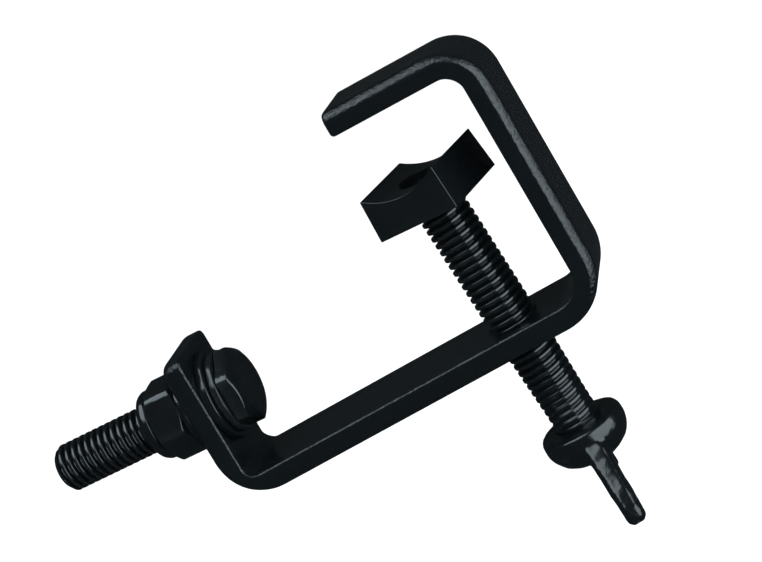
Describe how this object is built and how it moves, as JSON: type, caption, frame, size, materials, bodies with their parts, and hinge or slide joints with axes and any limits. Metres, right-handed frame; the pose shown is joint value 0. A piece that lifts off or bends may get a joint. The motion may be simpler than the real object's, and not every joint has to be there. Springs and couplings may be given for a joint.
{
  "type": "lighting hook clamp",
  "caption": "Bent flat-bar hook clamp for hanging a light on a tube, with a wing screw, a swivelling saddle and a yoke bolt with lock nut.",
  "frame": {"origin": "on the base arm's top face, at mid width, 37 mm from the clamp screw's axis toward the bolt tab (mount base_top)", "axes": "+Z out of the base arm's top face, parallel to the clamp screw and toward the hook arm; +X along the base arm from the bolt tab toward the back upright; +Y across the bar's width"},
  "size_m": [0.1481, 0.0462, 0.1192],
  "materials": {
    "black_paint": "glossy black paint with a slight orange peel",
    "black_steel": "blackened steel, lightly oiled",
    "black_casting": "black painted casting",
    "spring_steel": "blackened spring steel",
    "nylon": "dark nylon"
  },
  "bodies": {
    "frame": {"hook_bar": "black_paint"},
    "screw_carrier": {"saddle_snap_ring": "spring_steel"},
    "clamp_screw": {"spindle": "black_steel", "wing_head": "black_casting"},
    "swivel_saddle": {"saddle": "black_casting"},
    "yoke_bolt": {"mounting_bolt": "black_steel", "head_flat_washer": "black_steel", "head_spring_washer": "spring_steel"},
    "nut_carrier": {"nut_washer": "black_steel"},
    "lock_nut": {"lock_nut_body": "black_steel", "lock_nut_insert": "nylon"}
  },
  "joints": [
    {"name": "screw_travel", "type": "slide", "parent": "frame", "child": "screw_carrier", "axis": [0, 0, 1], "range_m": [-0.0312, 0.0136]},
    {"name": "screw_turn", "type": "hinge", "parent": "screw_carrier", "child": "clamp_screw", "pos_m": [0.037, 0, 0], "axis": [0, 0, 1], "range_deg": [-5760, 2520]},
    {"name": "saddle_swivel", "type": "hinge", "parent": "screw_carrier", "child": "swivel_saddle", "pos_m": [0.037, 0, 0], "axis": [0, 0, 1], "continuous": true},
    {"name": "bolt_turn", "type": "hinge", "parent": "frame", "child": "yoke_bolt", "pos_m": [-0.03633, 0, 0.0192], "axis": [-0.9981, 0, 0.061], "continuous": true},
    {"name": "nut_travel", "type": "slide", "parent": "yoke_bolt", "child": "nut_carrier", "axis": [-0.9981, 0, 0.061], "range_m": [0, 0.0254]},
    {"name": "nut_turn", "type": "hinge", "parent": "nut_carrier", "child": "lock_nut", "pos_m": [-0.03633, 0, 0.0192], "axis": [-0.9981, 0, 0.061], "range_deg": [0, 4690]}
  ],
  "couplings": [
    {"joint": "screw_turn", "follows": "screw_travel", "rad_per_m": 3215.8},
    {"joint": "nut_turn", "follows": "nut_travel", "rad_per_m": 3215.8}
  ]
}
